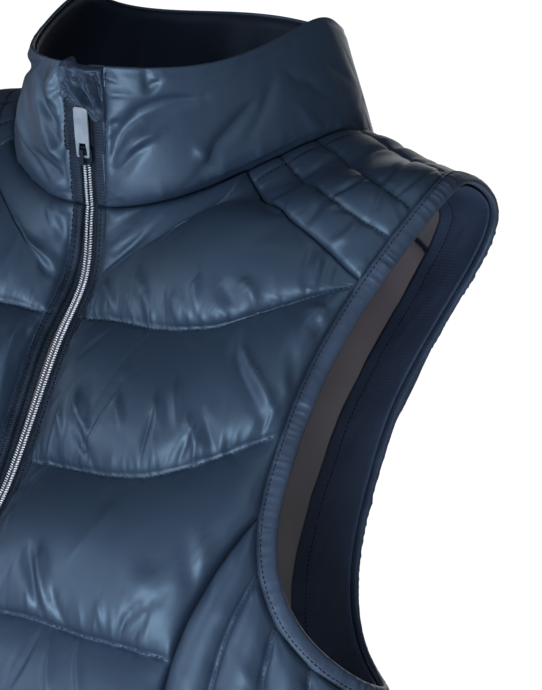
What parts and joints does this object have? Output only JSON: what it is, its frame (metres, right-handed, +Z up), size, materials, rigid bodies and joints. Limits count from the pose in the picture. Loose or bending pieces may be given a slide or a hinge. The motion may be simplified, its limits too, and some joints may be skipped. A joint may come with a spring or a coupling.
{
  "type": "quilted vest",
  "caption": "Sleeveless quilted vest with a padded stand collar, a full front zip with a hinged pull tab, yoked shoulders, channelled side panels and bound armholes, filled out as if worn.",
  "frame": {"origin": "middle of the neck, level with the points where the neck seam crosses the shoulders", "axes": "+Z up the wearer's body, -Y out of the front, +X to the wearer's left"},
  "size_m": [0.4578, 0.2446, 0.7079],
  "materials": {
    "shell": "satin",
    "facing": "matte",
    "lining": "satin",
    "binding": "matte",
    "tape": "matte",
    "teeth": "metallic",
    "slider": "gloss",
    "tab": "brushed"
  },
  "bodies": {
    "garment": {"front_left": "shell", "front_right": "shell", "yoke_left": "shell", "yoke_right": "shell", "side_left": "shell", "side_right": "shell", "back": "shell", "back_lining": "lining", "collar": "shell", "collar_facing": "facing", "armhole_binding_left": "binding", "armhole_binding_right": "binding", "armhole_facing_left": "facing", "armhole_facing_right": "facing", "zip_tape_left": "tape", "zip_tape_right": "tape", "zip_chain": "teeth", "slider": "slider", "chin_guard": "shell"},
    "pull_tab": {"pull_tab": "tab"}
  },
  "joints": [
    {"name": "tab_hinge", "type": "hinge", "parent": "garment", "child": "pull_tab", "pos_m": [0, -0.10574, -0.05455], "axis": [1, 0, 0], "range_deg": [0, 160]}
  ]
}
